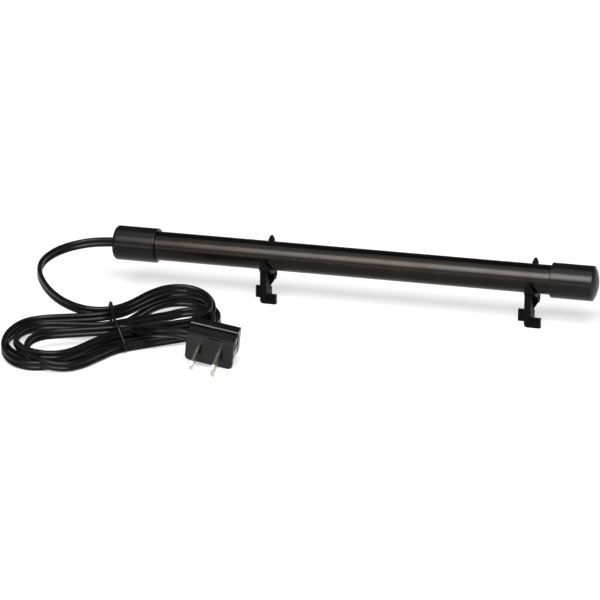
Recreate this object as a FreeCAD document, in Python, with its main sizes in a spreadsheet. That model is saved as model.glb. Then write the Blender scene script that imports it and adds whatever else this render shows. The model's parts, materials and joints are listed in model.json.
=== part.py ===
import FreeCAD, Part
import math
import os
import Sketcher

# Slim tubular heating rod with two spring clips, a flat two-core cord tied in a hank, and a
# two-blade plug whose rear cover slides on over the cord.
# Frame in millimetres: +X along the rod towards the domed cap, +Y to the rear, +Z up.
# The origin is on the floor, under the middle of the rod.

doc = FreeCAD.newDocument("heating_rod")
sheet = doc.addObject("Spreadsheet::Sheet", "sizes")

SIZES = [
    ("rod_length", 305.0, "end of one cap to the top of the dome"),
    ("axis_height", 29.4, "rod axis above the floor"),
    ("tube_diameter", 18.0, "outside of the sheath tube"),
    ("tube_wall", 1.2, "sheath tube wall"),
    ("cap_diameter", 21.4, "outside of both end caps"),
    ("cap_gap", 0.04, "clearance between a cap and the tube"),
    ("cord_cap_length", 27.4, "cap at the cord end"),
    ("dome_cap_length", 25.6, "straight part of the domed cap"),
    ("dome_rise", 3.0, "height of the shallow dome"),
    ("cap_end_wall", 2.8, "thickness of a cap's end"),
    ("clip_left_place", -54.0, "left clip along the rod"),
    ("clip_right_place", 112.0, "right clip along the rod"),
    ("clip_gap", 0.08, "running clearance between a clip and the tube"),
    ("clip_outer_diameter", 22.4, "outside of the clip's open ring"),
    ("clip_width", 7.0, "clip ring along the rod"),
    ("clip_tip_width", 2.4, "clip ring's width at the tips of its arms"),
    ("web_thickness", 4.0, "upright web of a clip"),
    ("foot_depth", 13.0, "clip foot from front to rear"),
    ("foot_width", 10.0, "each plate of a clip foot along the rod"),
    ("foot_wall", 2.0, "plates of a clip foot"),
    ("foot_height", 7.0, "height of a clip foot"),
    ("cord_width", 6.1, "flat cord across both cores"),
    ("cord_thickness", 3.1, "flat cord across one core"),
    ("wire_diameter", 1.2, "lead wire"),
    ("core_diameter", 5.0, "ceramic core of the heater"),
    ("winding_wire", 0.6, "resistance wire"),
    ("core_length", 207.0, "ceramic core"),
    ("sleeve_inside", 7.4, "insulating sleeve bore"),
    ("sleeve_outside", 8.6, "insulating sleeve"),
    ("plug_width", 28.4, "plug across the blades' row"),
    ("plug_height", 18.6, "plug's front plate"),
    ("plate_thickness", 3.2, "plug's front plate"),
    ("housing_depth", 11.2, "plug face to the back of the cord channel"),
    ("cover_depth", 5.2, "plug cover behind the channel"),
    ("lip_place", 9.2, "plug face to the front of the cover's lip"),
    ("channel_floor", 0.7, "underside of the cord channel above the blades' row"),
    ("channel_wall", 1.1, "wall above and below the cord channel"),
    ("blade_pitch", 12.7, "between the blades"),
    ("blade_length", 16.5, "blade in front of the face"),
    ("blade_thickness", 1.5, "both blades"),
    ("narrow_blade", 6.3, "height of the live blade"),
    ("wide_blade", 7.9, "height of the neutral blade"),
]

value = {}
for row, (alias, size, meaning) in enumerate(SIZES, start=1):
    sheet.set("A%d" % row, meaning)
    sheet.set("B%d" % row, str(size))
    sheet.setAlias("B%d" % row, alias)
    value[alias] = size
doc.recompute()

UP = FreeCAD.Vector(0, 0, 1)
ALONG = FreeCAD.Rotation(UP, FreeCAD.Vector(1, 0, 0))   # turns +Z onto the rod's axis
# turns a piece made along +Z, with its start on +X, to lie along the rod with its start on top
ALONG_AND_UP = FreeCAD.Rotation(
    FreeCAD.Vector(0, 0, 1), FreeCAD.Vector(0, -1, 0), FreeCAD.Vector(1, 0, 0), "ZYX")
parts = []


def bind(text):
    """Turn short size names in an expression into references to the sheet."""
    for alias in sorted(value, key=len, reverse=True):
        text = text.replace("<" + alias + ">", "sizes." + alias)
    return text


def number(text):
    """The present value of an expression that uses <size> names."""
    for alias, size in value.items():
        text = text.replace("<" + alias + ">", "(%r)" % size)
    return float(sheet.evalExpression(text))


# ---------------------------------------------------------------- building blocks

def new_body(label):
    body = doc.addObject("PartDesign::Body", label)
    body.Label = label
    parts.append(body)
    return body


def new_sketch(body, role, offset="0"):
    """A sketch on one of the body's own origin planes, moved along its normal."""
    plane = [item for item in body.Origin.OriginFeatures if item.Role == role][0]
    sketch = body.newObject("Sketcher::SketchObject", body.Label + "_sketch")
    sketch.AttachmentSupport = [(plane, "")]
    sketch.MapMode = "FlatFace"
    if offset != "0":
        sketch.setExpression("AttachmentOffset.Base.z", bind(offset))
    return sketch


def pin_point(sketch, geometry, corner, across, up):
    """Hold one point of a sketch at two expressions measured from its origin."""
    for kind, text in (("DistanceX", across), ("DistanceY", up)):
        rule = Sketcher.Constraint(kind, -1, 1, geometry, corner, number(text))
        index = sketch.addConstraint(rule)
        sketch.setExpression("Constraints[%d]" % index, bind(text))


def draw_outline(sketch, corners):
    """Closed outline of straight lines through corners given as pairs of expressions."""
    places = [FreeCAD.Vector(number(across), number(up), 0) for across, up in corners]
    lines = []
    for index, start in enumerate(places):
        end = places[(index + 1) % len(places)]
        lines.append(sketch.addGeometry(Part.LineSegment(start, end), False))
    for index, line in enumerate(lines):
        following = lines[(index + 1) % len(lines)]
        sketch.addConstraint(Sketcher.Constraint("Coincident", line, 2, following, 1))
        pin_point(sketch, line, 1, corners[index][0], corners[index][1])


def draw_box(sketch, left, bottom, right, top):
    draw_outline(sketch, [(left, bottom), (right, bottom), (right, top), (left, top)])


def draw_circle(sketch, radius, across="0", up="0"):
    centre = FreeCAD.Vector(number(across), number(up), 0)
    circle = sketch.addGeometry(Part.Circle(centre, UP, number(radius)), False)
    index = sketch.addConstraint(Sketcher.Constraint("Radius", circle, number(radius)))
    sketch.setExpression("Constraints[%d]" % index, bind(radius))
    if across == "0" and up == "0":
        sketch.addConstraint(Sketcher.Constraint("Coincident", circle, 3, -1, 1))
    else:
        pin_point(sketch, circle, 3, across, up)


def pad(body, sketch, length, midplane=False, reverse=False):
    feature = body.newObject("PartDesign::Pad", body.Label + "_pad")
    feature.Profile = sketch
    feature.setExpression("Length", bind(length))
    feature.Midplane = midplane
    feature.Reversed = reverse
    doc.recompute()
    return feature


def pocket(body, sketch, length, midplane=False, reverse=False):
    """Cut a sketch out of the body, and check that it took something away."""
    before = body.Shape.Volume
    feature = body.newObject("PartDesign::Pocket", body.Label + "_pocket")
    feature.Profile = sketch
    feature.setExpression("Length", bind(length))
    feature.Midplane = midplane
    feature.Reversed = reverse
    doc.recompute()
    if body.Shape.Volume > before - 0.01:
        raise ValueError("a pocket in %s cut nothing" % body.Label)
    return feature


def revolve(body, corners):
    """Turn an outline in the XY plane about the body's own X axis."""
    sketch = new_sketch(body, "XY_Plane")
    draw_outline(sketch, corners)
    feature = body.newObject("PartDesign::Revolution", body.Label + "_turn")
    feature.Profile = sketch
    feature.ReferenceAxis = (sketch, ["H_Axis"])
    feature.Angle = 360
    doc.recompute()
    return feature


def round_edges(body, radius, chosen):
    """Round the edges of the body's tip for which chosen(edge) is true."""
    base = body.Tip
    names = []
    for index, edge in enumerate(base.Shape.Edges, start=1):
        if chosen(edge):
            names.append("Edge%d" % index)
    feature = body.newObject("PartDesign::Fillet", body.Label + "_round")
    feature.Base = (base, names)
    feature.Radius = radius
    doc.recompute()
    return feature


def on_axis(piece, along="0", above="0"):
    """Place a piece on the rod's axis, at a distance along it and above it."""
    piece.setExpression("Placement.Base.x", bind(along))
    piece.setExpression("Placement.Base.z", bind("<axis_height> + " + above))


def rod(label, diameter, length, along, above="0"):
    """A round bar lying along the rod, with its left end at along."""
    bar = doc.addObject("Part::Cylinder", label)
    bar.Label = label
    bar.Placement = FreeCAD.Placement(FreeCAD.Vector(), ALONG)
    bar.setExpression("Radius", bind("(%s) / 2" % diameter))
    bar.setExpression("Height", bind(length))
    on_axis(bar, along, above)
    parts.append(bar)
    return bar


def ring(label, inside, outside, length, along):
    """A round tube about the rod's axis, with its left end at along."""
    body = new_body(label)
    sketch = new_sketch(body, "YZ_Plane")
    draw_circle(sketch, "(%s) / 2" % outside)
    if inside:
        draw_circle(sketch, "(%s) / 2" % inside)
    pad(body, sketch, length)
    on_axis(body, along)
    return body


def smooth_path(points):
    """Straight runs through points, joined by the largest tangent arcs that the runs allow."""
    places = [FreeCAD.Vector(*point) for point in points]
    edges = []
    radii = []
    start = places[0]
    for index in range(1, len(places) - 1):
        before = places[index] - places[index - 1]
        after = places[index + 1] - places[index]
        half_turn = before.getAngle(after) / 2
        reach = 0.45 * min(before.Length, after.Length)
        radii.append(reach / math.tan(half_turn))
        before.normalize()
        after.normalize()
        enter = places[index] - before * reach
        leave = places[index] + after * reach
        inward = (after - before).normalize()
        to_centre = radii[-1] / math.cos(half_turn)
        middle = places[index] + inward * (to_centre - radii[-1])
        edges.append(Part.LineSegment(start, enter).toShape())
        edges.append(Part.Arc(enter, middle, leave).toShape())
        start = leave
    edges.append(Part.LineSegment(start, places[-1]).toShape())
    return Part.Wire(edges), radii


def tube_along(label, points, diameter):
    """A round solid swept along a smooth path, checked against section times length."""
    path, radii = smooth_path(points)
    direction = FreeCAD.Vector(*points[1]) - FreeCAD.Vector(*points[0])
    section = Part.Wire([Part.Circle(FreeCAD.Vector(*points[0]), direction, diameter / 2).toShape()])
    solid = path.makePipeShell([section], True, False)
    expected = math.pi * diameter ** 2 / 4 * path.Length
    if abs(solid.Volume / expected - 1) > 0.02:
        raise ValueError("%s has the wrong volume" % label)
    print("%s: length %.1f, radii %s" % (label, path.Length, [round(radius, 1) for radius in radii]))
    piece = doc.addObject("Part::Feature", label)
    piece.Label = label
    piece.Shape = solid
    parts.append(piece)
    return piece


# ---------------------------------------------------------------- the rod's shell

LEFT_END = "-<rod_length> / 2"
RIGHT_END = "<rod_length> / 2"
TUBE_LEFT = LEFT_END + " + <cap_end_wall> + 2"
TUBE_RIGHT = RIGHT_END + " - <dome_rise> - <cap_end_wall> + 1"
TUBE_BORE = "(<tube_diameter> - 2 * <tube_wall>)"
CAP_BORE = "(<tube_diameter> / 2 + <cap_gap>)"


def make_sheath_tube():
    ring("sheath_tube", TUBE_BORE, "<tube_diameter>", "%s - (%s)" % (TUBE_RIGHT, TUBE_LEFT), TUBE_LEFT)


def is_rim(radius, place):
    """True for a round edge of one radius at one place along X."""
    def chosen(edge):
        curve = edge.Curve
        if not isinstance(curve, Part.Circle):
            return False
        return abs(curve.Radius - radius) < 0.01 and abs(curve.Center.x - place) < 0.01
    return chosen


def make_cord_end_cap():
    """A cup over the tube's left end, with an upright slot for the flat cord."""
    body = new_body("cord_end_cap")
    outer = "<cap_diameter> / 2"
    revolve(body, [
        ("0", "0"),
        ("0", outer),
        ("<cord_cap_length>", outer),
        ("<cord_cap_length>", CAP_BORE),
        ("<cap_end_wall>", CAP_BORE),
        ("<cap_end_wall>", "0"),
    ])
    slot = new_sketch(body, "YZ_Plane")
    half_across = "<cord_thickness> / 2 + 0.2"
    half_up = "<cord_width> / 2 + 0.2"
    draw_box(slot, "-(%s)" % half_across, "-(%s)" % half_up, half_across, half_up)
    pocket(body, slot, "4 * <cap_end_wall>", midplane=True)
    round_edges(body, 2.0, is_rim(value["cap_diameter"] / 2, 0))
    round_edges(body, 0.5, is_rim(value["cap_diameter"] / 2, value["cord_cap_length"]))
    on_axis(body, LEFT_END)


def make_dome_end_cap():
    """A cup over the tube's right end, with a shallow dome."""
    body = new_body("dome_end_cap")
    half = value["cap_diameter"] / 2
    rise = value["dome_rise"]
    radius = (half ** 2 + rise ** 2) / (2 * rise)
    dome = doc.addObject("Part::Sphere", "dome_ball")
    dome.Radius = radius
    dome.Placement.Base = FreeCAD.Vector(value["dome_cap_length"] + rise - radius, 0, 0)
    outer = "<cap_diameter> / 2"
    inner_end = "<dome_cap_length> - <cap_end_wall> + 1.5"
    revolve(body, [
        ("0", CAP_BORE),
        ("0", outer),
        ("<dome_cap_length> + <dome_rise>", outer),
        ("<dome_cap_length> + <dome_rise>", "0"),
        (inner_end, "0"),
        (inner_end, CAP_BORE),
    ])
    round_edges(body, 0.5, is_rim(half, 0))
    parts.remove(body)
    body.Label = "dome_cap_blank"
    cap = doc.addObject("Part::Common", "dome_end_cap")
    cap.Label = "dome_end_cap"
    cap.Base = body
    cap.Tool = dome
    on_axis(cap, RIGHT_END + " - <dome_cap_length> - <dome_rise>")
    parts.append(cap)


# ---------------------------------------------------------------- inside the rod

CORD_INSIDE_END = LEFT_END + " + 21"
SPLICE_LENGTH = "9"
SPLICE_HEIGHT = "1.7"
LIVE_SPLICE = LEFT_END + " + 29"
NEUTRAL_SPLICE = LEFT_END + " + 41"
CUTOFF_HEIGHT = "2.9"
CUTOFF_PLACE = LEFT_END + " + 41"
CORE_PLACE = LEFT_END + " + 64"
WINDING_RADIUS = "(<core_diameter> + <winding_wire>) / 2 + 0.1"
RETURN_DEPTH = 6.2
SPACER_PLACES = (("left", 3.0), ("middle", 100.0), ("right", 200.0))


def make_flat_cord(label, length, along):
    """A straight length of the flat cord: two round cores side by side, one over the other."""
    body = new_body(label)
    radius = "<cord_thickness> / 2"
    web = new_sketch(body, "YZ_Plane")
    draw_box(web, "-0.9", "-(%s)" % radius, "0.9", radius)
    pad(body, web, length)
    for side in ("-", ""):
        core = new_sketch(body, "YZ_Plane")
        draw_circle(core, radius, "0", side + "(<cord_width> - <cord_thickness>) / 2")
        pad(body, core, length)
    on_axis(body, along)
    return body


def make_seal(label, along, thickness, slotted):
    """A soft disc that closes the tube's bore."""
    body = ring(label, "", TUBE_BORE + " - 0.1", thickness, along)
    if slotted:
        slot = new_sketch(body, "YZ_Plane")
        draw_box(slot, "-<cord_thickness> / 2", "-<cord_width> / 2",
                 "<cord_thickness> / 2", "<cord_width> / 2")
        pocket(body, slot, "3 * " + thickness, midplane=True)


def make_strain_relief():
    """An oblong clamp squeezed on the flat cord, too large to pass the cap's slot."""
    body = new_body("strain_relief_clamp")
    block = new_sketch(body, "YZ_Plane")
    draw_box(block, "-3.2", "-4.6", "3.2", "4.6")
    pad(body, block, "3")
    slot = new_sketch(body, "YZ_Plane")
    draw_box(slot, "-<cord_thickness> / 2", "-<cord_width> / 2",
             "<cord_thickness> / 2", "<cord_width> / 2")
    pocket(body, slot, "9", midplane=True)
    on_axis(body, TUBE_LEFT + " - 1.6")


def make_spacer(name, distance):
    """A disc that centres the sleeve in the tube and lets the return wire pass below."""
    along = "%s + %r" % (CORE_PLACE, distance)
    body = ring("spacer_" + name, "<sleeve_outside> + 0.1", TUBE_BORE + " - 0.2", "3", along)
    hole = new_sketch(body, "YZ_Plane")
    draw_circle(hole, "<wire_diameter> / 2 + 0.05", "0", "-%r" % RETURN_DEPTH)
    pocket(body, hole, "9", midplane=True)


def make_heating_wire():
    """Resistance wire wound on the ceramic core, ending below the axis at the right."""
    turns = 30.5
    wound = value["core_length"] - 3
    radius = number(WINDING_RADIUS)
    helix = Part.makeHelix(wound / turns, wound, radius)
    start = FreeCAD.Vector(radius, 0, 0)
    section = Part.Wire([Part.Circle(start, FreeCAD.Vector(0, 1, 0), value["winding_wire"] / 2).toShape()])
    wire = doc.addObject("Part::Feature", "heating_wire")
    wire.Label = "heating_wire"
    wire.Shape = Part.Wire(helix.Edges).makePipeShell([section], True, True)
    left = number(CORE_PLACE) + 1
    wire.Placement = FreeCAD.Placement(
        FreeCAD.Vector(left, 0, value["axis_height"]), ALONG_AND_UP)
    parts.append(wire)


def make_return_wire():
    """Insulated wire from the far end of the winding back to the neutral splice."""
    height = value["axis_height"]
    winding = number(WINDING_RADIUS)
    right = number(CORE_PLACE) + value["core_length"]
    splice = number(NEUTRAL_SPLICE) + float(SPLICE_LENGTH)
    low = height - RETURN_DEPTH
    tube_along("return_wire", [
        (right + 0.5, 0, height - winding),
        (right + 5, 0, height - winding),
        (right + 5, 0, low),
        (splice + 8, 0, low),
        (splice + 4, 0, height - float(SPLICE_HEIGHT)),
        (splice, 0, height - float(SPLICE_HEIGHT)),
    ], value["wire_diameter"])


def make_inside():
    make_flat_cord("cord_inside_rod", "%s - (%s)" % (CORD_INSIDE_END, LEFT_END), LEFT_END)
    make_strain_relief()
    make_seal("seal_left", LEFT_END + " + 9", "6", True)
    make_seal("seal_right", TUBE_RIGHT + " - 8", "6", False)
    core = "(<cord_width> - <cord_thickness>) / 2"
    rod("lead_wire_live", "<wire_diameter>", "%s - (%s)" % (LIVE_SPLICE, CORD_INSIDE_END),
        CORD_INSIDE_END, core)
    rod("lead_wire_neutral", "<wire_diameter>", "%s - (%s)" % (NEUTRAL_SPLICE, CORD_INSIDE_END),
        CORD_INSIDE_END, "-" + core)
    rod("splice_live", "3", SPLICE_LENGTH, LIVE_SPLICE, SPLICE_HEIGHT)
    rod("splice_neutral", "3", SPLICE_LENGTH, NEUTRAL_SPLICE, "-" + SPLICE_HEIGHT)
    cutoff_lead = "%s - (%s) - %s" % (CUTOFF_PLACE, LIVE_SPLICE, SPLICE_LENGTH)
    rod("cutoff_lead_in", "0.8", cutoff_lead, "%s + %s" % (LIVE_SPLICE, SPLICE_LENGTH), CUTOFF_HEIGHT)
    rod("thermal_cutoff", "3.6", "11", CUTOFF_PLACE, CUTOFF_HEIGHT)
    rod("cutoff_lead_out", "0.8", "%s - (%s) - 10.5" % (CORE_PLACE, CUTOFF_PLACE),
        CUTOFF_PLACE + " + 11", CUTOFF_HEIGHT)
    rod("heater_core", "<core_diameter>", "<core_length>", CORE_PLACE)
    make_heating_wire()
    ring("insulating_sleeve", "<sleeve_inside>", "<sleeve_outside>", "<core_length> + 5",
         CORE_PLACE + " - 2")
    for name, distance in SPACER_PLACES:
        make_spacer(name, distance)
    make_return_wire()


# ---------------------------------------------------------------- clips

def make_clip(label, along):
    """A spring clip: an open ring with a short front arm and a long rear arm, a web and a foot."""
    body = new_body(label)
    inside = "(<tube_diameter> / 2 + <clip_gap>)"
    outside = "<clip_outer_diameter> / 2"
    hoop = new_sketch(body, "YZ_Plane")
    draw_circle(hoop, inside)
    draw_circle(hoop, outside)
    pad(body, hoop, "<clip_width>", midplane=True)
    mouth = new_sketch(body, "YZ_Plane")
    draw_outline(mouth, [("0", "0"), ("12", "14.3"), ("-13", "14.3"), ("-13", "0.5")])
    pocket(body, mouth, "2 * <clip_width>", midplane=True)
    for side in ("-", ""):
        taper = new_sketch(body, "XZ_Plane")
        draw_outline(taper, [
            (side + "<clip_width> / 2", "-6.5"),
            (side + "(<clip_tip_width> / 2 + 0.6)", "-3.5"),
            (side + "<clip_tip_width> / 2", "0.5"),
            (side + "<clip_tip_width> / 2", "12"),
            (side + "<clip_width>", "12"),
            (side + "<clip_width>", "-6.5"),
        ])
        pocket(body, taper, "40", midplane=True)
    make_rear_finger(body)
    make_web(body)
    make_foot(body)
    on_axis(body, along)


def make_rear_finger(body):
    """The rear arm's tip, which stands above the rod and narrows to its top."""
    finger = new_sketch(body, "YZ_Plane")
    draw_outline(finger, [("6.0", "7.0"), ("6.9", "10.5"), ("8.7", "10.5"), ("8.8", "6.6")])
    pad(body, finger, "1.5 * <clip_tip_width>", midplane=True)
    for side in ("-", ""):
        slope = new_sketch(body, "XZ_Plane")
        draw_outline(slope, [
            (side + "0.7 * <clip_tip_width>", "8.2"),
            (side + "0.42 * <clip_tip_width>", "10"),
            (side + "0.26 * <clip_tip_width>", "10.6"),
            (side + "<clip_tip_width>", "10.6"),
            (side + "<clip_tip_width>", "8.2"),
        ])
        pocket(body, slope, "40", midplane=True)


WEB_LEFT = "(-<clip_width> / 2)"
WEB_RIGHT = "(<web_thickness> - <clip_width> / 2)"
BOSS_LENGTH = "<clip_width>"
BOSS_RADIUS = "3.2"
BOSS_HOLE = "1.6"
BOSS_PLACE = ("4.6", "-13.2")
RIB_THICKNESS = "3.2"
RIB_FOOT = "-20.4"


def make_web(body):
    """The upright web, flush with the ring's left side, and a round boss on a sloping rib."""
    front = "-<foot_depth> / 2"
    rear = "<foot_depth> / 2"
    floor = "-<axis_height>"
    web = new_sketch(body, "YZ_Plane", WEB_LEFT)
    draw_outline(web, [
        (front, "-8.6"), ("0", "-10.2"), ("6.4", "-8.6"), ("7.8", "-12.6"), ("7.0", "-15.6"),
        ("5.6", "-20.4"), ("2.4", "-21.4"), ("1.4", floor + " + <foot_height>"),
        (rear, floor + " + <foot_height>"), (rear, floor), (front, floor),
    ])
    pad(body, web, "<web_thickness>")
    boss = new_sketch(body, "YZ_Plane", WEB_LEFT)
    draw_circle(boss, BOSS_RADIUS, *BOSS_PLACE)
    pad(body, boss, BOSS_LENGTH)
    hole = new_sketch(body, "YZ_Plane", "%s + %s" % (WEB_LEFT, BOSS_LENGTH))
    draw_circle(hole, BOSS_HOLE, *BOSS_PLACE)
    pocket(body, hole, BOSS_HOLE)
    across, height = BOSS_PLACE
    rib = new_sketch(body, "XZ_Plane", "-(%s + %s / 2)" % (across, RIB_THICKNESS))
    boss_end = "%s + %s" % (WEB_LEFT, BOSS_LENGTH)
    rib_top = "%s - 0.75 * %s" % (height, BOSS_RADIUS)
    draw_outline(rib, [
        (WEB_LEFT, rib_top), (boss_end, rib_top), (WEB_RIGHT, RIB_FOOT), (WEB_LEFT, RIB_FOOT)])
    pad(body, rib, RIB_THICKNESS)


def make_foot(body):
    """Two upright plates on a thin floor: the front one to the right and the rear one to the left."""
    front = "-<foot_depth> / 2"
    rear = "<foot_depth> / 2"
    floor = "-<axis_height>"
    plates = (
        (WEB_RIGHT + " - <foot_width>", rear + " - <foot_wall>", WEB_RIGHT, rear, "<foot_height> + 0.4"),
        (WEB_LEFT, front, WEB_LEFT + " + <foot_width>", front + " + 1.5 * <foot_wall>",
         "<foot_height> - 1.1"),
        (WEB_LEFT, front, WEB_LEFT + " + 0.7 * <foot_width>", rear, "1.6"),
    )
    for left, near, right, far, height in plates:
        plate = new_sketch(body, "XY_Plane", floor)
        draw_box(plate, left, near, right, far)
        pad(body, plate, height)
    recess = new_sketch(body, "XZ_Plane", "<foot_depth> / 2")
    draw_box(recess, WEB_RIGHT + " + 0.2", floor + " + 2.0",
             WEB_LEFT + " + <foot_width> - 1.0", floor + " + <foot_height>")
    pocket(body, recess, "0.9 * <foot_wall>")
    corner = new_sketch(body, "XZ_Plane", "<foot_depth> / 2")
    draw_outline(corner, [
        (WEB_LEFT, floor), (WEB_LEFT + " + 1.9", floor), (WEB_LEFT + " + 0.6", floor + " + 0.6"),
        (WEB_LEFT, floor + " + 1.9"),
    ])
    pocket(body, corner, "0.4 * <foot_depth>")


# ---------------------------------------------------------------- plug

# The plug leans on its front lower edge: its own X runs along the row of blades, its own Y
# from the face to the back, and its own Z up the face.
PLUG_PLACE = FreeCAD.Placement(
    FreeCAD.Vector(-51.9, -130.1, 10.8),
    FreeCAD.Rotation(FreeCAD.Vector(0.983, 0.065, -0.168), FreeCAD.Vector(0.003, 0.942, 0.337),
                     FreeCAD.Vector(0.181, -0.332, 0.926), "XZY"))
CHANNEL_LOW = "(<channel_floor> + <channel_wall>)"
CHANNEL_HIGH = "(<plug_height> / 2 - <channel_wall>)"
COVER_LOW = "(-6.2)"
CORD_IN_PLUG = ("(<plate_thickness> + 0.1 + <cord_thickness> / 2)",
                "(%s + %s) / 2" % (CHANNEL_LOW, CHANNEL_HIGH))


def make_plug_body():
    """The front plate that carries the blades, and a channel for the cord along its upper back."""
    body = new_body("plug_body")
    plate = new_sketch(body, "XZ_Plane")
    half_width = "<plug_width> / 2"
    half_height = "<plug_height> / 2"
    draw_outline(plate, [
        ("-" + half_width, half_height), ("-" + half_width, "-%s + 2.5" % half_height),
        ("-%s + 0.8" % half_width, "-%s + 0.8" % half_height),
        ("-%s + 2.5" % half_width, "-" + half_height),
        ("%s - 1.6" % half_width, "-" + half_height), (half_width, "-%s + 1.6" % half_height),
        (half_width, half_height),
    ])
    pad(body, plate, "<plate_thickness>", reverse=True)
    housing = new_sketch(body, "YZ_Plane")
    draw_outline(housing, [
        ("<plate_thickness>", "-4.0"), ("<housing_depth>", COVER_LOW + " + 0.5"),
        ("<housing_depth>", half_height), ("<plate_thickness>", half_height),
    ])
    pad(body, housing, "<plug_width>", midplane=True)
    channel = new_sketch(body, "YZ_Plane")
    draw_box(channel, "<plate_thickness>", CHANNEL_LOW, "2 * <housing_depth>", CHANNEL_HIGH)
    pocket(body, channel, "2 * <plug_width>", midplane=True)
    groove = new_sketch(body, "YZ_Plane")
    draw_box(groove, "8.4", CHANNEL_LOW + " - 0.7", "9.8", CHANNEL_HIGH + " + 0.7")
    pocket(body, groove, "2 * <plug_width>", midplane=True)
    latch = new_sketch(body, "XY_Plane", half_height)
    draw_box(latch, "-1", "0.7", "5.2", "2.3")
    pocket(body, latch, "1.6")
    for side, height in (("-", "<narrow_blade>"), ("", "<wide_blade>")):
        slot = new_sketch(body, "XZ_Plane")
        middle = side + "<blade_pitch> / 2"
        draw_box(slot, middle + " - <blade_thickness> / 2", "-%s / 2" % height,
                 middle + " + <blade_thickness> / 2", "%s / 2" % height)
        pocket(body, slot, "2 * <plate_thickness>", midplane=True)
        relief = new_sketch(body, "XZ_Plane")
        draw_box(relief, middle, "-%s / 2" % height,
                 middle + " + <blade_thickness> / 2 + 0.9", "%s / 2" % height)
        pocket(body, relief, "1.6")
        leg = new_sketch(body, "XZ_Plane", "-(<plate_thickness> - 1.2)")
        draw_box(leg, middle + " - <blade_thickness> / 2", "0",
                 middle + " + <blade_thickness> / 2", CHANNEL_HIGH)
        pocket(body, leg, "3")
    body.Placement = PLUG_PLACE


def make_blade(label, side, height, tooth_height):
    """A flat blade with a round hole near its tip, and a leg behind the face with a sharp tooth."""
    body = new_body(label)
    middle = side + "<blade_pitch> / 2"
    half = "%s / 2" % height
    tip = "-<blade_length>"
    blade = new_sketch(body, "YZ_Plane", middle)
    draw_outline(blade, [
        (tip, "%s - 1.8" % half), (tip + " + 1.2", "%s - 0.5" % half), (tip + " + 2.6", half),
        ("<plate_thickness>", half), ("<plate_thickness>", "-" + half),
        (tip + " + 2.6", "-" + half), (tip + " + 1.2", "-%s + 0.5" % half), (tip, "-%s + 1.8" % half),
    ])
    pad(body, blade, "<blade_thickness>", midplane=True)
    hole = new_sketch(body, "YZ_Plane", middle)
    draw_circle(hole, "1.55", tip + " + 4.3", "0")
    pocket(body, hole, "5", midplane=True)
    leg = new_sketch(body, "YZ_Plane", middle)
    draw_outline(leg, [
        ("<plate_thickness> - 1.1", "0"), ("<plate_thickness>", "0"),
        ("<plate_thickness>", tooth_height + " - 0.8"), ("<plate_thickness> + 1.6", tooth_height),
        ("<plate_thickness>", tooth_height + " + 0.8"),
        ("<plate_thickness> - 1.1", tooth_height + " + 0.8"),
    ])
    pad(body, leg, "<blade_thickness>", midplane=True)
    body.Placement = PLUG_PLACE


def make_plug_cover():
    """The rear cover: a ribbed tongue slides in the channel and presses the cord on the teeth."""
    body = new_body("plug_cover")
    shell = new_sketch(body, "YZ_Plane")
    inner = "<housing_depth> + 0.15"
    back = "<housing_depth> + <cover_depth>"
    over = "<plug_height> / 2 + 0.15"
    draw_outline(shell, [
        (inner, COVER_LOW + " + 0.6"), (back + " - 1.5", COVER_LOW), (back, COVER_LOW + " + 1.5"),
        (back, "<plug_height> / 2 + 0.5"), (back + " - 0.6", "<plug_height> / 2 + 1.2"),
        ("<lip_place> + 0.7", "<plug_height> / 2 + 2.2"), ("<lip_place>", "<plug_height> / 2 + 1.6"),
        ("<lip_place>", over), (inner, over),
    ])
    pad(body, shell, "<plug_width> + 0.4", midplane=True)
    tongue = new_sketch(body, "YZ_Plane")
    draw_box(tongue, "<plate_thickness> + <cord_thickness> + 0.4", CHANNEL_LOW + " + 0.15",
             "<housing_depth> + 1", CHANNEL_HIGH + " - 0.15")
    pad(body, tongue, "<plug_width> - 0.4", midplane=True)
    rib = new_sketch(body, "YZ_Plane")
    draw_box(rib, "8.55", CHANNEL_LOW + " - 0.5", "9.65", CHANNEL_HIGH + " + 0.5")
    pad(body, rib, "<plug_width> - 0.4", midplane=True)
    body.Placement = PLUG_PLACE


def make_plug_cord():
    """The last of the flat cord, between the plug's face and the cover's tongue."""
    body = new_body("cord_inside_plug")
    depth, height = CORD_IN_PLUG
    radius = "<cord_thickness> / 2"
    left = "-<plug_width> / 2"
    length = "<plug_width> - 3"
    for offset in ("- ", "+ "):
        core = new_sketch(body, "YZ_Plane", left)
        draw_circle(core, radius, depth, height + " %s(<cord_width> - <cord_thickness>) / 2" % offset)
        pad(body, core, length)
    web = new_sketch(body, "YZ_Plane", left)
    draw_box(web, depth + " - 0.9", height + " - 1", depth + " + 0.9", height + " + 1")
    pad(body, web, length)
    body.Placement = PLUG_PLACE


# ---------------------------------------------------------------- free cord

# The cord leaves the cap level, bends round to the front on its way down, and joins the hank
# at its tie. Each list holds the corners of one stretch's route.
LEAD_ROUTE = [
    (-152.5, 0, 29.4), (-166, 0, 29.4), (-178.5, -6.4, 27.6), (-187.5, -18, 25.6), (-190, -32.5, 24),
    (-187, -48, 22.8), (-179, -64, 21.6), (-167, -79, 20.6), (-151, -90, 19.8), (-131, -94, 19.4),
]
TAIL_ROUTE = [
    (-107, -104.5, 10), (-98.8, -112.2, 12.4), (-90.6, -119.9, 16.4),
    (-83, -126, 19.9), (-73.9, -128.7, 21),
]

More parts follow.
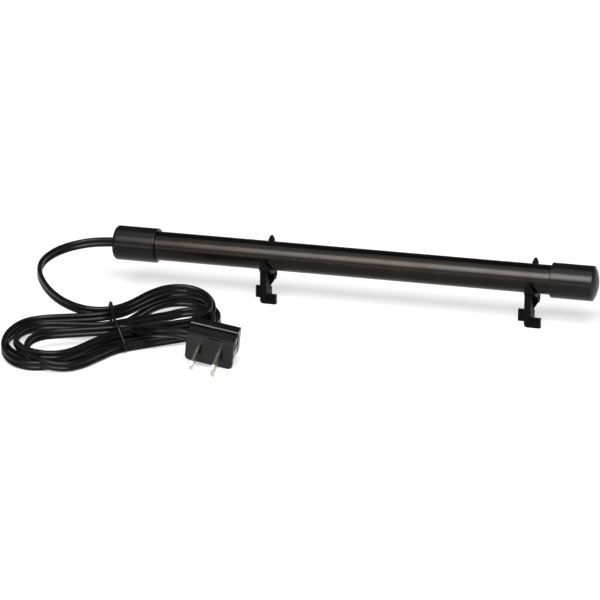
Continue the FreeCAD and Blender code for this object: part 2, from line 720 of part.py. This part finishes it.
# The hank's own axes: U runs along it, away from the cord's exit, and V across it to the front.
# The tie is at its origin.
HANK_CENTRE = FreeCAD.Vector(-118, -101, 0)
HANK_TURN = 44.0
HANK_HEIGHT = 22.6
HANK_OUTLINE = [
    (12, 17.5), (52, 24), (77, -12), (56, -48.5), (14, -21), (0, -16.3),
    (-14, -19), (-50, -40), (-76, 2), (-50, 37), (-12, 20), (0, 16.7),
]
TIE_WIRE = 1.8
TIE_FRONT = 17.5
TIE_REAR = 17.1
TIE_CORNER = 5.0
TIE_TURN = 10.0


def make_cord_hank():
    """The outer shape of the tied hank: two lobes with a waist at the tie."""
    places = [FreeCAD.Vector(along, -across, 0) for along, across in HANK_OUTLINE]
    edges = []
    for index in range(0, len(places), 2):
        following = places[(index + 2) % len(places)]
        edges.append(Part.Arc(places[index], places[index + 1], following).toShape())
    solid = Part.Face(Part.Wire(edges)).extrude(FreeCAD.Vector(0, 0, HANK_HEIGHT))
    hank = doc.addObject("Part::Feature", "cord_hank")
    hank.Label = "cord_hank"
    hank.Shape = solid
    hank.Placement = FreeCAD.Placement(HANK_CENTRE, FreeCAD.Rotation(UP, HANK_TURN))
    parts.append(hank)


def make_twist_tie():
    """A wire tie round the waist of the hank: a rounded box of wire in an upright plane."""
    low = TIE_WIRE / 2 + 0.1
    high = HANK_HEIGHT + TIE_WIRE / 2 + 0.1
    # centre of each rounded corner, and the signs of the two sides that it joins
    corners = [
        (-TIE_FRONT + TIE_CORNER, high - TIE_CORNER, -1, 1),
        (TIE_REAR - TIE_CORNER, high - TIE_CORNER, 1, 1),
        (TIE_REAR - TIE_CORNER, low + TIE_CORNER, 1, -1),
        (-TIE_FRONT + TIE_CORNER, low + TIE_CORNER, -1, -1),
    ]
    slant = TIE_CORNER * math.sqrt(0.5)
    arcs = []
    for place, (across, height, side, level) in enumerate(corners):
        upright = FreeCAD.Vector(0, across + side * TIE_CORNER, height)
        middle = FreeCAD.Vector(0, across + side * slant, height + level * slant)
        flat = FreeCAD.Vector(0, across, height + level * TIE_CORNER)
        ends = (upright, flat) if place % 2 == 0 else (flat, upright)
        arcs.append((ends[0], middle, ends[1]))
    edges = []
    for place, (start, middle, end) in enumerate(arcs):
        edges.append(Part.Arc(start, middle, end).toShape())
        following = arcs[(place + 1) % len(arcs)][0]
        edges.append(Part.LineSegment(end, following).toShape())
    start = arcs[0][0]
    section = Part.Wire([Part.Circle(start, UP, TIE_WIRE / 2).toShape()])
    loop = Part.Wire(edges).makePipeShell([section], True, False)
    tie = doc.addObject("Part::Feature", "twist_tie")
    tie.Label = "twist_tie"
    tie.Shape = loop
    tie.Placement = FreeCAD.Placement(HANK_CENTRE, FreeCAD.Rotation(UP, HANK_TURN + TIE_TURN))
    parts.append(tie)


def make_free_cord():
    mouth = PLUG_PLACE.multVec(FreeCAD.Vector(
        -value["plug_width"] / 2, number(CORD_IN_PLUG[0]), number(CORD_IN_PLUG[1])))
    print("cord enters the plug at", [round(coordinate, 1) for coordinate in mouth])
    tube_along("cord_lead", LEAD_ROUTE, value["cord_width"])
    tube_along("cord_tail", TAIL_ROUTE + [tuple(mouth)], value["cord_width"])
    make_cord_hank()
    make_twist_tie()


def main():
    make_sheath_tube()
    make_cord_end_cap()
    make_dome_end_cap()
    make_inside()
    make_clip("clip_left", "<clip_left_place>")
    make_clip("clip_right", "<clip_right_place>")
    make_plug_body()
    make_blade("blade_narrow", "-", "<narrow_blade>", "(%s - <cord_thickness> / 2)" % CORD_IN_PLUG[1])
    make_blade("blade_wide", "", "<wide_blade>", "(%s + <cord_thickness> / 2)" % CORD_IN_PLUG[1])
    make_plug_cover()
    make_plug_cord()
    make_free_cord()
    finish()


def finish():
    """Check the whole document, then write one file for each piece."""
    doc.recompute()
    for item in doc.Objects:
        if "Invalid" in item.State or "Error" in item.State:
            raise ValueError("%s did not recompute" % item.Label)
    for piece in parts:
        if piece.Shape.isNull() or not piece.Shape.isValid():
            raise ValueError("%s has no valid shape" % piece.Label)
    os.makedirs("parts", exist_ok=True)
    for piece in parts:
        piece.Shape.exportStep("parts/%s.step" % piece.Label)
        print(piece.Label, len(piece.Shape.Solids), round(piece.Shape.Volume, 1))


main()
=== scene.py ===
import json
import math

import bpy
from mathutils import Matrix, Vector


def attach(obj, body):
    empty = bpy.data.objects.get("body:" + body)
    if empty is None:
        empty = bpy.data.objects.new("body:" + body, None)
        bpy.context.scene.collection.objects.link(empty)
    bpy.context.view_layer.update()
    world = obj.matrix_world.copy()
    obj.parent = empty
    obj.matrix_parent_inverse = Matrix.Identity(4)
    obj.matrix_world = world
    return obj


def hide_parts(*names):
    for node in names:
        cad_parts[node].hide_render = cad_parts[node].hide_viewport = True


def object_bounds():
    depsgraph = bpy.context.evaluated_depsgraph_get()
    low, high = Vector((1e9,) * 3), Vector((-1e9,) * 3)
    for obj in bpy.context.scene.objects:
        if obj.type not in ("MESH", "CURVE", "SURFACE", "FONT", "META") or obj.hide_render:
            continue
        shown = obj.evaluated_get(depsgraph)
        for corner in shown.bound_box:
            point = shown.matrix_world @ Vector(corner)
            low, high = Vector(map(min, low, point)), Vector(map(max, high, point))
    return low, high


# The looks of a slim heating rod with two clips, and of its flat cord, tied in a hank.
# Lengths are in metres. The camera, the cord and the tie are laid out in millimetres, in the
# CAD model's own frame, and MM turns them to metres.

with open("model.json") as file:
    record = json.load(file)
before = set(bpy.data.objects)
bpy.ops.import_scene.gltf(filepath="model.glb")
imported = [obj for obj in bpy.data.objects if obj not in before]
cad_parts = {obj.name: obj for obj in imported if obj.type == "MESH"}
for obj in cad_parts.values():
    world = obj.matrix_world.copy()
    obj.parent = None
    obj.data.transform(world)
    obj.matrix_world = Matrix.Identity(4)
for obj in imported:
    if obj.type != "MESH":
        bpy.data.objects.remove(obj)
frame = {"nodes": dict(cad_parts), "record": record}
CAD_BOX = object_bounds()

MM = 0.001
MICRON = 0.000001


# ------------------------------------------------------------- camera, floor and lights

def direction(azimuth, elevation):
    """The direction from the rod that is these degrees to the right of its front and above level."""
    turn = math.radians(azimuth)
    rise = math.radians(elevation)
    return Vector((math.sin(turn) * math.cos(rise), -math.cos(turn) * math.cos(rise), math.sin(rise)))


VIEW_AZIMUTH = 15.8
VIEW_ELEVATION = 18.7
VIEW_DISTANCE = 2005 * MM
LENS = 195.06
AIM = Vector((-33.7, 0, 2.2)) * MM


def add_camera():
    """The camera looks down at the rod from the front right, from far enough off to flatten it."""
    back = direction(VIEW_AZIMUTH, VIEW_ELEVATION)
    camera = bpy.data.objects.new("camera", bpy.data.cameras.new("camera"))
    camera.data.lens = LENS
    camera.location = AIM + VIEW_DISTANCE * back
    camera.rotation_euler = back.to_track_quat("Z", "Y").to_euler()
    bpy.context.collection.objects.link(camera)
    bpy.context.scene.camera = camera


FLOOR_SIZES = 6  # how many times the CAD box's diagonal the floor reaches to each side
FLOOR_GREY = 0.28
# the floor's own glow near the rod and far from it, and the distances where it starts and ends its rise
NEAR_GLOW = 0.55
FAR_GLOW = 1.0
NEAR_FLOOR = 0.3
FAR_FLOOR = 1.0


def floor_paint():
    """Matt paint that glows more with its distance from the rod, so the ground stays white."""
    material = bpy.data.materials.new("floor_paint")
    material.use_nodes = True
    nodes = material.node_tree.nodes
    link = material.node_tree.links.new
    shader = nodes["Principled BSDF"]
    shader.inputs["Base Color"].default_value = (FLOOR_GREY, FLOOR_GREY, FLOOR_GREY, 1)
    shader.inputs["Roughness"].default_value = 1
    shader.inputs["Specular IOR Level"].default_value = 0
    shader.inputs["Emission Color"].default_value = (1, 1, 1, 1)
    distance = nodes.new("ShaderNodeVectorMath")
    distance.operation = "LENGTH"
    link(nodes.new("ShaderNodeTexCoord").outputs["Object"], distance.inputs[0])
    glow = nodes.new("ShaderNodeMapRange")
    glow.inputs["From Min"].default_value = NEAR_FLOOR
    glow.inputs["From Max"].default_value = FAR_FLOOR
    glow.inputs["To Min"].default_value = NEAR_GLOW
    glow.inputs["To Max"].default_value = FAR_GLOW
    link(distance.outputs["Value"], glow.inputs["Value"])
    link(glow.outputs["Result"], shader.inputs["Emission Strength"])
    return material


def add_floor():
    """A white floor, lit well enough that only soft shadows show on it."""
    low, high = CAD_BOX
    reach = FLOOR_SIZES * (high - low).length
    mesh = bpy.data.meshes.new("floor")
    corners = [(-reach, -reach, 0), (reach, -reach, 0), (reach, reach, 0), (-reach, reach, 0)]
    mesh.from_pydata(corners, [], [(0, 1, 2, 3)])
    floor = bpy.data.objects.new("floor", mesh)
    bpy.context.collection.objects.link(floor)
    mesh.materials.append(floor_paint())


# name, azimuth and elevation of the lamp's middle in degrees, distance, width, height, watts
LAMPS = [
    ("front_softbox", 7, 46, 1.5, 1.3, 0.85, 76),
    ("top_softbox", -10, 84, 1.5, 1.4, 0.7, 7),
    ("low_strip", -25, 4, 1.5, 1.6, 0.18, 5.2),
]
WORLD_GLOW = 0.1


def add_lights():
    """Soft boxes in front of and above the rod, in a dim room."""
    world = bpy.data.worlds.new("studio")
    world.use_nodes = True
    background = world.node_tree.nodes["Background"]
    background.inputs["Color"].default_value = (1, 1, 1, 1)
    background.inputs["Strength"].default_value = WORLD_GLOW
    bpy.context.scene.world = world
    bpy.context.scene.view_settings.view_transform = "Standard"
    for name, azimuth, elevation, distance, width, height, watts in LAMPS:
        towards = direction(azimuth, elevation)
        lamp = bpy.data.lights.new(name, "AREA")
        lamp.shape = "RECTANGLE"
        lamp.size = width
        lamp.size_y = height
        lamp.energy = watts
        light = bpy.data.objects.new(name, lamp)
        light.location = towards * distance
        light.rotation_euler = towards.to_track_quat("Z", "Y").to_euler()
        bpy.context.collection.objects.link(light)


# ------------------------------------------------------------- the cord's route

# the flat cord's size across both of its cores, and across one
CORD_WIDTH = 6.1
CORD_THICKNESS = 3.1

# from the cap, round to the front on its way down, to the rear of the tie
LEAD_POINTS = [
    (-152.5, 0, 29.4), (-165, -0.4, 28.7), (-176.5, -4, 27), (-185, -12, 25.5), (-189.2, -24, 24.3),
    (-189.3, -37.5, 23.3), (-185, -52, 22.2), (-176, -68, 21), (-165, -82.4, 20), (-153.5, -92.8, 19.2),
    (-142, -98, 18.2), (-131.5, -97.8, 17.5), (-122.5, -92, 17.3), (-116.2, -81.8, 17.8),
]
# from the tie up to the side of the plug
TAIL_POINTS = [
    (-101.5, -106, 11.8), (-91.8, -114.8, 14.5), (-83.3, -123.6, 18.4), (-74.2, -128.4, 20.6),
    (-65, -128.1, 19.5),
]
# The hank has its own axes, with the tie at their origin: along it, and across it to the front.
HANK_CENTRE = (-118, -101)
HANK_TURN = math.radians(44)
# each fold of the cord in turn: its first bulge, its far end and its last bulge, with the places
# along the hank, across it and up
FOLDS = [
    ((47, -33, 16.5), (70, -13, 11), (42, 11, 3.5)),
    ((-47, 20, 3.5), (-67, -9, 4), (-42, -36, 5)),
    ((51, -37, 6.4), (72.5, -13, 4.4), (46, 14, 3.5)),
    ((-51, 24, 3.5), (-72.5, -1, 5), (-44, -30.5, 12)),
    ((50, -35, 12.0), (67, -11, 13.4), (42, 11, 8.8)),
    ((-47, 25, 8.5), (-65, 0, 9.5), (-41, -25, 9.5)),
    ((46, -12, 7.5), (60, 6, 8.5), (42, 23, 5)),
    ((-45, 33, 3.5), (-63, 11, 7.5), (-41, -10, 9.4)),
]
# where the cord goes back through the tie after each fold: across the hank, and up
PASSES = [
    (6.8, 3.3), (-9.4, 6.8), (10.6, 3.3), (-9.4, 15), (9, 9.4), (-5, 10), (16.5, 3.4), (2, 10),
]
TIE_REACH = 8  # how far along the hank, to each side of the tie, a way through it starts and ends
LAST_PASS = (3, 6, 10.6)  # inside the tie, on the cord's last way through it, to the tail
# A fold is part of an oval, this many degrees to each side of its far end. It swells past the bulges.
FOLD_TURN = 112
FOLD_POINTS = 8
FOLD_SWELL = 1.02
# the cord's one point on its way from the tie to a fold, and on its way back, as parts of the way
LEAVING = 0.55
ARRIVING = 0.45
LOWEST = 3.3  # half the cord's width, with a little air below it


def hank_point(along, across, up):
    """A point in the hank's own axes, turned into the model's frame."""
    x, y = HANK_CENTRE
    return (
        x + along * math.cos(HANK_TURN) + across * math.sin(HANK_TURN),
        y + along * math.sin(HANK_TURN) - across * math.cos(HANK_TURN),
        up,
    )


def between(a, b, part):
    """The point that is this part of the way from a to b."""
    return tuple(p + (q - p) * part for p, q in zip(a, b))


def fold_points(first, far, last):
    """The cord's points round one fold."""
    centre = between(first, last, 0.5)
    arc = []
    for step in range(FOLD_POINTS):
        angle = math.radians(-FOLD_TURN + 2 * FOLD_TURN * step / (FOLD_POINTS - 1))
        out = math.cos(angle)
        back = math.sin(angle)
        along = centre[0] + (far[0] - centre[0]) * out - (first[0] - centre[0]) * back * FOLD_SWELL
        across = centre[1] + (far[1] - centre[1]) * out - (first[1] - centre[1]) * back * FOLD_SWELL
        up = centre[2] + (far[2] - centre[2]) * max(out, 0) - (first[2] - centre[2]) * back
        arc.append((along, across, max(up, LOWEST)))
    return arc


def route():
    """The whole cord's points: lead, every fold of the hank with its way through the tie, and tail."""
    hank = []
    for turn, bulges in enumerate(FOLDS):
        side = TIE_REACH if turn % 2 == 0 else -TIE_REACH
        fold = fold_points(*bulges)
        if turn > 0:
            leave = (side, *PASSES[turn - 1])
            hank += [leave, between(leave, fold[0], LEAVING)]
        arrive = (side, *PASSES[turn])
        hank += [*fold, between(fold[-1], arrive, ARRIVING), arrive]
    hank.append(LAST_PASS)
    return [*LEAD_POINTS, *[hank_point(*place) for place in hank], *TAIL_POINTS]


# ------------------------------------------------------------- building helpers

def new_object(name, mesh, body):
    """A new piece that rides on a body."""
    piece = bpy.data.objects.new(name, mesh)
    bpy.context.collection.objects.link(piece)
    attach(piece, body)
    return piece


LINE_DETAIL = 14  # how finely a route's NURBS curve is read, in steps to each of its points


def smooth_line(points):
    """Points along a smooth line, read from a NURBS curve that follows a route in millimetres."""
    curve = bpy.data.curves.new("route", "CURVE")
    curve.dimensions = "3D"
    curve.resolution_u = LINE_DETAIL
    spline = curve.splines.new("NURBS")
    spline.points.add(len(points) - 1)
    for control, point in zip(spline.points, points):
        control.co = (*[value * MM for value in point], 1)
    spline.order_u = 3
    spline.use_endpoint_u = True
    holder = bpy.data.objects.new("route", curve)
    bpy.context.collection.objects.link(holder)
    bpy.context.view_layer.update()
    shown = holder.evaluated_get(bpy.context.evaluated_depsgraph_get())
    mesh = bpy.data.meshes.new_from_object(shown)
    line = [vertex.co.copy() for vertex in mesh.vertices]
    bpy.data.objects.remove(holder)
    bpy.data.meshes.remove(mesh)
    return line


ROUND_STEPS = 12
CORE_ARC = math.radians(146)  # how far round from its outer side each core shows, to the valley


def flat_cord_section():
    """The flat cord's outline across its path: two round cores with a valley on each side."""
    radius = CORD_THICKNESS / 2
    offset = (CORD_WIDTH - CORD_THICKNESS) / 2
    outline = []
    for side in (1, -1):
        for step in range(ROUND_STEPS + 1):
            angle = -CORE_ARC + 2 * CORE_ARC * step / ROUND_STEPS
            up = side * (offset + radius * math.cos(angle))
            outline.append((up * MM, -side * radius * math.sin(angle) * MM))
    return outline


def round_section(radius):
    """A circle across a wire's path."""
    outline = []
    for step in range(ROUND_STEPS):
        angle = 2 * math.pi * step / ROUND_STEPS
        outline.append((radius * math.cos(angle) * MM, radius * math.sin(angle) * MM))
    return outline


NEARLY_UPRIGHT = 0.05  # how small the level part of a line's direction is where the line stands up


def sweep(name, line, section, body):
    """A tube along the line; the section's first axis stays as near upright as the line lets it."""
    vertices = []
    last = len(line) - 1
    for index, place in enumerate(line):
        ahead = (line[min(index + 1, last)] - line[max(index - 1, 0)]).normalized()
        sideways = ahead.cross(Vector((0, 0, 1)))
        if sideways.length < NEARLY_UPRIGHT:
            sideways = ahead.cross(Vector((1, 0, 0)))
        sideways.normalize()
        upright = sideways.cross(ahead)
        vertices += [place + upright * up - sideways * side for up, side in section]
    faces = []
    count = len(section)
    for ring in range(last):
        for step in range(count):
            a = ring * count + step
            b = ring * count + (step + 1) % count
            faces.append((a, b, b + count, a + count))
    faces.append(tuple(reversed(range(count))))
    faces.append(tuple(range(last * count, (last + 1) * count)))
    mesh = bpy.data.meshes.new(name)
    mesh.from_pydata(vertices, [], faces)
    for face in mesh.polygons:
        face.use_smooth = True
    return new_object(name, mesh, body)


# ------------------------------------------------------------- materials

# most of a noise's values lie between these two
NOISE_LOW = 0.3
NOISE_HIGH = 0.7
EDGE_SAMPLES = 6


class Finish:
    """A node-based material: helpers add nodes and join them to the Principled shader."""

    def __init__(self, name, roughness, metallic=0.0, specular=0.5):
        self.material = bpy.data.materials.new(name)
        self.material.use_nodes = True
        self.tree = self.material.node_tree
        self.shader = self.tree.nodes["Principled BSDF"]
        self.shader.inputs["Roughness"].default_value = roughness
        self.shader.inputs["Metallic"].default_value = metallic
        self.shader.inputs["Specular IOR Level"].default_value = specular
        self.place = self.tree.nodes.new("ShaderNodeTexCoord").outputs["Object"]

    def link(self, output, target):
        """Join a node's output to another's input."""
        self.tree.links.new(output, target)

    def stretch(self, scale):
        """The object's coordinates, scaled differently along each axis."""
        mapping = self.tree.nodes.new("ShaderNodeMapping")
        mapping.inputs["Scale"].default_value = scale
        self.link(self.place, mapping.inputs["Vector"])
        return mapping.outputs["Vector"]

    def noise(self, scale, detail=3.0, vector=None):
        """Noise whose scale is in patches per metre."""
        node = self.tree.nodes.new("ShaderNodeTexNoise")
        node.inputs["Scale"].default_value = scale
        node.inputs["Detail"].default_value = detail
        self.link(vector or self.place, node.inputs["Vector"])
        return node.outputs["Fac"]

    def colours(self, factor, dark, light, low=0.35, high=0.65):
        """Base colour that runs from dark to light as the factor rises."""
        ramp = self.tree.nodes.new("ShaderNodeValToRGB")
        ramp.color_ramp.elements[0].position = low
        ramp.color_ramp.elements[0].color = (*dark, 1)
        ramp.color_ramp.elements[1].position = high
        ramp.color_ramp.elements[1].color = (*light, 1)
        self.link(factor, ramp.inputs["Fac"])
        self.link(ramp.outputs["Color"], self.shader.inputs["Base Color"])

    def roughness(self, factor, low, high):
        """Roughness that runs from low to high as the factor rises."""
        spread = self.tree.nodes.new("ShaderNodeMapRange")
        spread.inputs["From Min"].default_value = NOISE_LOW
        spread.inputs["From Max"].default_value = NOISE_HIGH
        spread.inputs["To Min"].default_value = low
        spread.inputs["To Max"].default_value = high
        self.link(factor, spread.inputs["Value"])
        self.link(spread.outputs["Result"], self.shader.inputs["Roughness"])

    def beyond(self, place, axis, start, end):
        """A factor that rises from 0 to 1 between two distances from a place along an axis."""
        dot = self.tree.nodes.new("ShaderNodeVectorMath")
        dot.operation = "DOT_PRODUCT"
        dot.inputs[1].default_value = axis
        self.link(self.place, dot.inputs[0])
        ramp = self.tree.nodes.new("ShaderNodeMapRange")
        ramp.inputs["From Min"].default_value = axis.dot(place) + start
        ramp.inputs["From Max"].default_value = axis.dot(place) + end
        self.link(dot.outputs["Value"], ramp.inputs["Value"])
        return ramp.outputs["Result"]

    def bump(self, height, depth, edge=0.0):
        """A fine relief of a depth in metres; edge rounds the corners of the piece in its shading."""
        relief = self.tree.nodes.new("ShaderNodeBump")
        relief.inputs["Distance"].default_value = depth
        relief.inputs["Strength"].default_value = 1.0
        self.link(height, relief.inputs["Height"])
        if edge:
            bevel = self.tree.nodes.new("ShaderNodeBevel")
            bevel.samples = EDGE_SAMPLES
            bevel.inputs["Radius"].default_value = edge
            self.link(bevel.outputs["Normal"], relief.inputs["Normal"])
        self.link(relief.outputs["Normal"], self.shader.inputs["Normal"])


def moulded_plastic(name, dark, light, rough, grain=1800, specular=0.25, edge=0.0,
                    depth=4 * MICRON):
    """Moulded plastic with a fine grain, a faintly mottled colour and a slightly uneven gloss."""
    finish = Finish(name, rough, specular=specular)
    finish.colours(finish.noise(90, 4), dark, light)
    finish.roughness(finish.noise(120, 4), rough * 0.92, rough * 1.1)
    finish.bump(finish.noise(grain, 3), depth, edge=edge)
    return finish.material


def drawn_metal(name, dark, light, rough, line_counts, edge=0.0):
    """Metal with fine drawing lines along the x axis, and patches of slightly different tint."""
    finish = Finish(name, rough, metallic=1.0)
    finish.colours(finish.noise(60, 4), dark, light)
    lines = finish.noise(1, 5, finish.stretch(line_counts))
    finish.roughness(lines, rough * 0.85, rough * 1.2)
    finish.bump(lines, 0.8 * MICRON, edge=edge)
    return finish.material


def soft_surface(name, dark, light, rough, scale):
    """Rubber, silicone or wire covering: matt, with a soft mottled colour."""
    finish = Finish(name, rough, specular=0.3)
    finish.colours(finish.noise(scale, 5), dark, light)
    finish.bump(finish.noise(scale * 3, 3), 20 * MICRON)
    return finish.material


def woven_surface(name, dark, light, pitch):
    """A woven sleeve: slightly wavy threads round the x axis, about three to each pitch along it."""
    finish = Finish(name, 0.8, specular=0.2)
    wave = finish.tree.nodes.new("ShaderNodeTexWave")
    wave.inputs["Scale"].default_value = 1 / pitch
    wave.inputs["Distortion"].default_value = 1.5
    wave.inputs["Detail"].default_value = 2
    finish.link(finish.stretch((1, 1.6, 1.6)), wave.inputs["Vector"])
    finish.colours(wave.outputs["Fac"], dark, light, 0.2, 0.8)
    finish.bump(wave.outputs["Fac"], 100 * MICRON)
    return finish.material


# how many drawing lines a metre holds along x, y and z
FINE_LINES = (8, 2600, 2600)
COARSE_LINES = (60, 900, 900)
# blacks, from the deepest to the most faded
BLACK = (0.0012, 0.0012, 0.0013)
SOFT_BLACK = (0.0024, 0.0024, 0.0026)
DULL_BLACK = (0.0030, 0.0030, 0.0032)
FADED_BLACK = (0.0052, 0.0052, 0.0055)
# in the plug's front plate: how far behind the blades' mount the matt face starts to turn smooth,
# and how far on it has done so
MATT_END = 2.6
SMOOTH_START = 3.4
MATT = 0.5
SMOOTH = 0.17


def plug_shell():
    """The plug's shell: a matt textured face, and a smoother housing behind its front plate."""
    finish = Finish("plug_plastic", MATT, specular=0.2)
    finish.colours(finish.noise(90, 4), DULL_BLACK, FADED_BLACK)
    blades = next(mount for mount in frame["record"]["mounts"] if mount["name"] == "plug_blades")
    behind = finish.beyond(Vector(blades["pos_m"]), -Vector(blades["axis"]),
                           MATT_END * MM, SMOOTH_START * MM)
    finish.roughness(behind, MATT, SMOOTH)
    finish.bump(finish.noise(2400, 3), 4 * MICRON, edge=0.4 * MM)
    return finish.material


def cord_jacket():
    """Black PVC cord: semi-gloss, with faint smears and a fine relief."""
    finish = Finish("cord_pvc", 0.31, specular=0.1)
    finish.colours(finish.noise(120, 4), BLACK, DULL_BLACK)
    finish.roughness(finish.noise(320, 4), 0.28, 0.38)
    finish.bump(finish.noise(1500, 2), 20 * MICRON)
    return finish.material


def tie_coating():
    """The tie's thin plastic coating."""
    finish = Finish("tie_plastic", 0.35, specular=0.12)
    finish.colours(finish.noise(200, 3), BLACK, SOFT_BLACK)
    finish.bump(finish.noise(1200, 2), 20 * MICRON)
    return finish.material


def black_plastics():
    """The moulded parts seen from outside, but for the plug's shell."""
    return {
        "black_cap": moulded_plastic("cap_plastic", BLACK, SOFT_BLACK, 0.27, grain=1400,
                                     specular=0.145, depth=0.6 * MICRON),
        "clip_plastic": moulded_plastic("clip_plastic", BLACK, SOFT_BLACK, 0.42,
                                        specular=0.035, edge=0.3 * MM),
        "plug_cover_plastic": moulded_plastic("plug_cover_plastic", BLACK, SOFT_BLACK, 0.24,
                                              grain=2400, specular=0.14, edge=0.4 * MM),
    }


def metals():
    """The tube, the blades, the splices, the cutoff's leads and the heating wire."""
    return {
        "bronze_tube": drawn_metal("bronze_tube", (0.0142, 0.0126, 0.0116), (0.0175, 0.0155, 0.0143),
                                   0.3, FINE_LINES),
        "blade_metal": drawn_metal("blade_metal", (0.44, 0.42, 0.38), (0.54, 0.52, 0.48),
                                   0.24, COARSE_LINES, edge=0.2 * MM),
        "tinned_metal": drawn_metal("tinned_metal", (0.52, 0.50, 0.48), (0.66, 0.65, 0.62),
                                    0.35, FINE_LINES),
        "resistance_wire": drawn_metal("resistance_wire", (0.30, 0.29, 0.28), (0.42, 0.40, 0.38),
                                       0.4, FINE_LINES),
    }


def hidden_insulation():
    """The plastics, seals, ceramic and sleeve inside the tube."""
    return {
        "cutoff_case": moulded_plastic("cutoff_case", (0.70, 0.68, 0.60), (0.80, 0.78, 0.70),
                                       0.3, edge=0.3 * MM),
        "nylon_clamp": moulded_plastic("nylon_clamp", (0.52, 0.50, 0.45), (0.60, 0.58, 0.52),
                                       0.45, edge=0.3 * MM),
        "silicone_seal": soft_surface("silicone_seal", (0.48, 0.49, 0.50), (0.56, 0.57, 0.58), 0.6, 400),
        "wire_insulation": soft_surface("wire_insulation", (0.55, 0.55, 0.52), (0.66, 0.66, 0.63),
                                        0.5, 500),
        "ceramic_core": soft_surface("ceramic_core", (0.72, 0.69, 0.62), (0.82, 0.80, 0.74), 0.75, 900),
        "spacer_disc": soft_surface("spacer_disc", (0.50, 0.44, 0.34), (0.68, 0.62, 0.50), 0.6, 700),
        "woven_sleeve": woven_surface("woven_sleeve", (0.60, 0.58, 0.52), (0.82, 0.80, 0.74), 0.9 * MM),
    }


def make_finishes():
    """One material for each of the record's slots."""
    return {
        "plug_plastic": plug_shell(),
        "cord_jacket": cord_jacket(),
        "tie_plastic": tie_coating(),
        **black_plastics(),
        **metals(),
        **hidden_insulation(),
    }


def paint_nodes(finishes):
    """Give every CAD node the material of its slot."""
    for part in frame["record"]["subparts"]:
        mesh = frame["nodes"][part["node"]].data
        mesh.materials.clear()
        mesh.materials.append(finishes[part["material_slot"]])


# ------------------------------------------------------------- cord and tie


def add_cord(material):
    """The whole cord as one piece, with what is known of it."""
    line = smooth_line(route())
    cord = sweep("power_cord", line, flat_cord_section(), "root")
    cord.data.materials.append(material)
    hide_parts("cord_lead", "cord_tail", "cord_hank")


TIE_RADIUS = 0.9
# the tie's line round the hank: along it, across it and up
TIE_LOOP = [
    (-4.5, 20.6, 3.0), (-4.8, 20.6, 7.4), (-5, 16, 10.8), (-5.2, 13.2, 14.8), (-5.2, 8.6, 17.2),
    (-4, 2, 19.4), (-1, -5, 20.9), (1.5, -11, 21.9), (2.6, -15.4, 20.8), (3.0, -16.8, 16.5),
    (3.0, -15.4, 10), (2.6, -13.6, 4), (1.5, -10.5, 1.2), (-1.5, 1, 1.2), (-3.8, 13, 1.2),
    (-4.4, 19.4, 1.5), (-4.5, 20.6, 3.0),
]


def add_tie(material):
    """A thin wire tie that follows the strands round the waist of the hank."""
    line = smooth_line([hank_point(*point) for point in TIE_LOOP])
    tie = sweep("tie_wire", line, round_section(TIE_RADIUS), "root")
    tie.data.materials.append(material)
    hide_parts("twist_tie")
    return tie


add_camera()
add_floor()
add_lights()
finishes = make_finishes()
paint_nodes(finishes)
tie_wire = add_tie(finishes["tie_plastic"])
add_cord(finishes["cord_jacket"])
